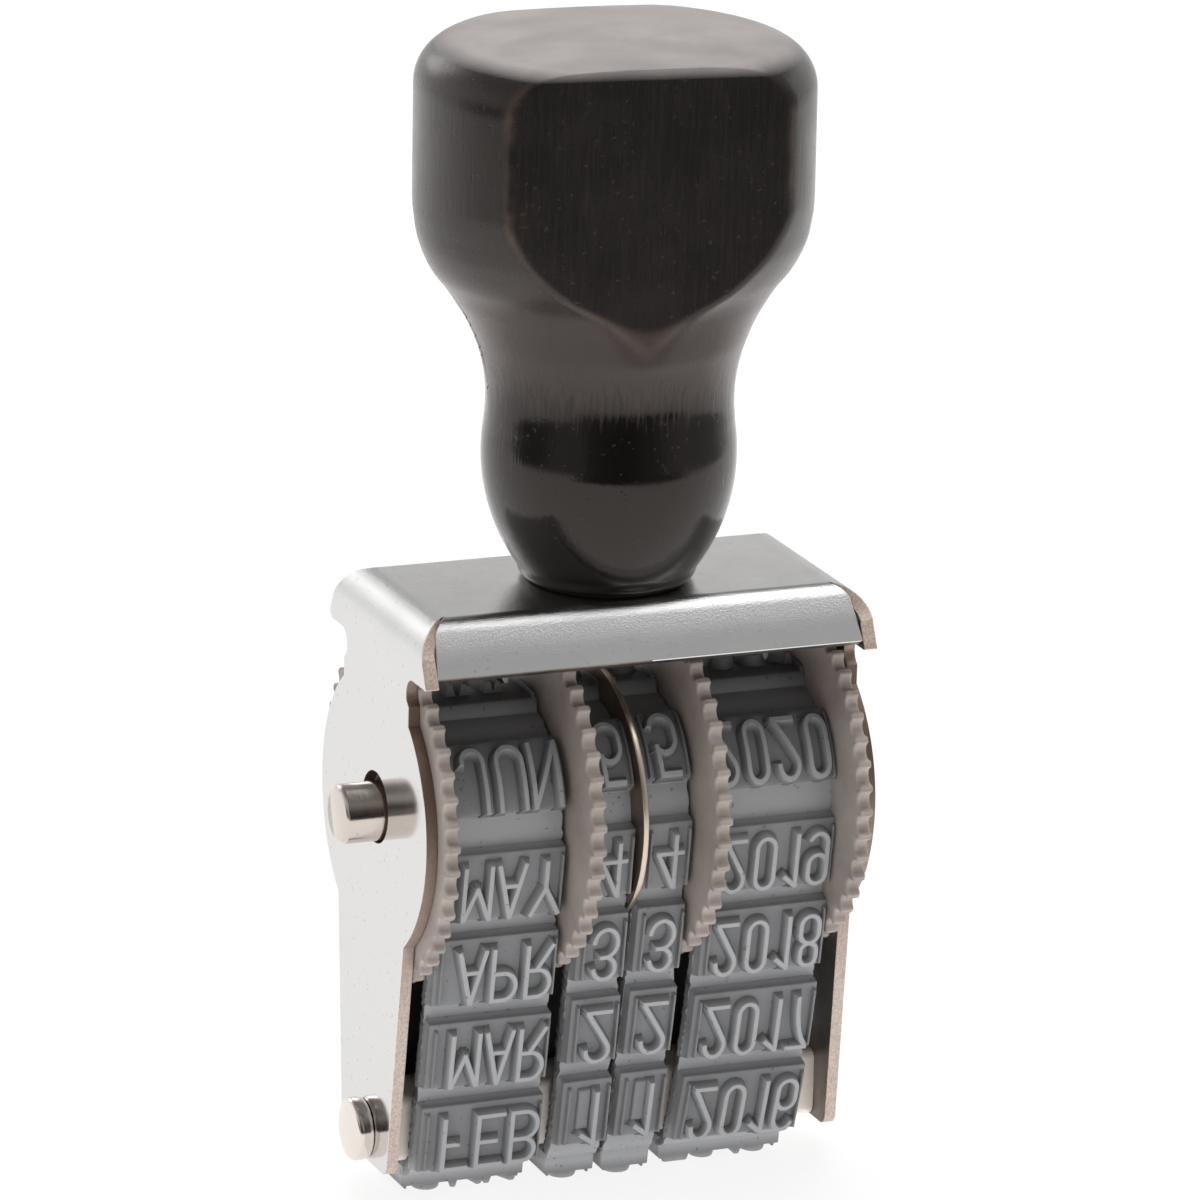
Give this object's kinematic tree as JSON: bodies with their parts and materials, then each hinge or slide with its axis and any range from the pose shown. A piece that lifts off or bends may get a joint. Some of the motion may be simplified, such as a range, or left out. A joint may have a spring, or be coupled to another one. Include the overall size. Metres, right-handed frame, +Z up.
{
  "type": "hand band date stamp",
  "caption": "Hand date stamp with a turned handle, folded sheet frame and toothed thumb wheels that drive endless rubber type bands round a lower bar.",
  "frame": {"origin": "middle of the printing face, under the axle", "axes": "+Z up along the handle, +X along the axle from the month band to the year band, +Y towards the rear"},
  "size_m": [0.0356, 0.0224, 0.0758],
  "materials": {
    "handle_lacquer": "black lacquer over turned wood",
    "screw_steel": "plain zinc",
    "frame_nickel": "bright nickel plate",
    "axle_nickel": "bright nickel plate",
    "wheel_plastic": "satin moulded taupe",
    "divider_brass": "bare sheet",
    "band_rubber": "matte grey",
    "bar_nickel": "bright nickel plate",
    "rivet_nickel": "bright nickel plate"
  },
  "bodies": {
    "stamp": {"handle": "handle_lacquer", "handle_screw": "screw_steel", "frame": "frame_nickel", "upper_axle": "axle_nickel", "divider_disc": "divider_brass", "month_band": "band_rubber", "day_tens_band": "band_rubber", "day_ones_band": "band_rubber", "year_band": "band_rubber", "lower_bar": "bar_nickel", "bar_rivets": "rivet_nickel"},
    "month_wheel_body": {"month_wheel": "wheel_plastic"},
    "day_tens_wheel_body": {"day_tens_wheel": "wheel_plastic"},
    "day_ones_wheel_body": {"day_ones_wheel": "wheel_plastic"},
    "year_wheel_body": {"year_wheel": "wheel_plastic"}
  },
  "joints": [
    {"name": "month_turn", "type": "hinge", "parent": "stamp", "child": "month_wheel_body", "pos_m": [-0.00937, 0, 0.02605], "axis": [1, 0, 0], "continuous": true},
    {"name": "day_tens_turn", "type": "hinge", "parent": "stamp", "child": "day_tens_wheel_body", "pos_m": [-0.00205, 0, 0.02605], "axis": [1, 0, 0], "continuous": true},
    {"name": "day_ones_turn", "type": "hinge", "parent": "stamp", "child": "day_ones_wheel_body", "pos_m": [0.00205, 0, 0.02605], "axis": [1, 0, 0], "continuous": true},
    {"name": "year_turn", "type": "hinge", "parent": "stamp", "child": "year_wheel_body", "pos_m": [0.00937, 0, 0.02605], "axis": [1, 0, 0], "continuous": true}
  ]
}
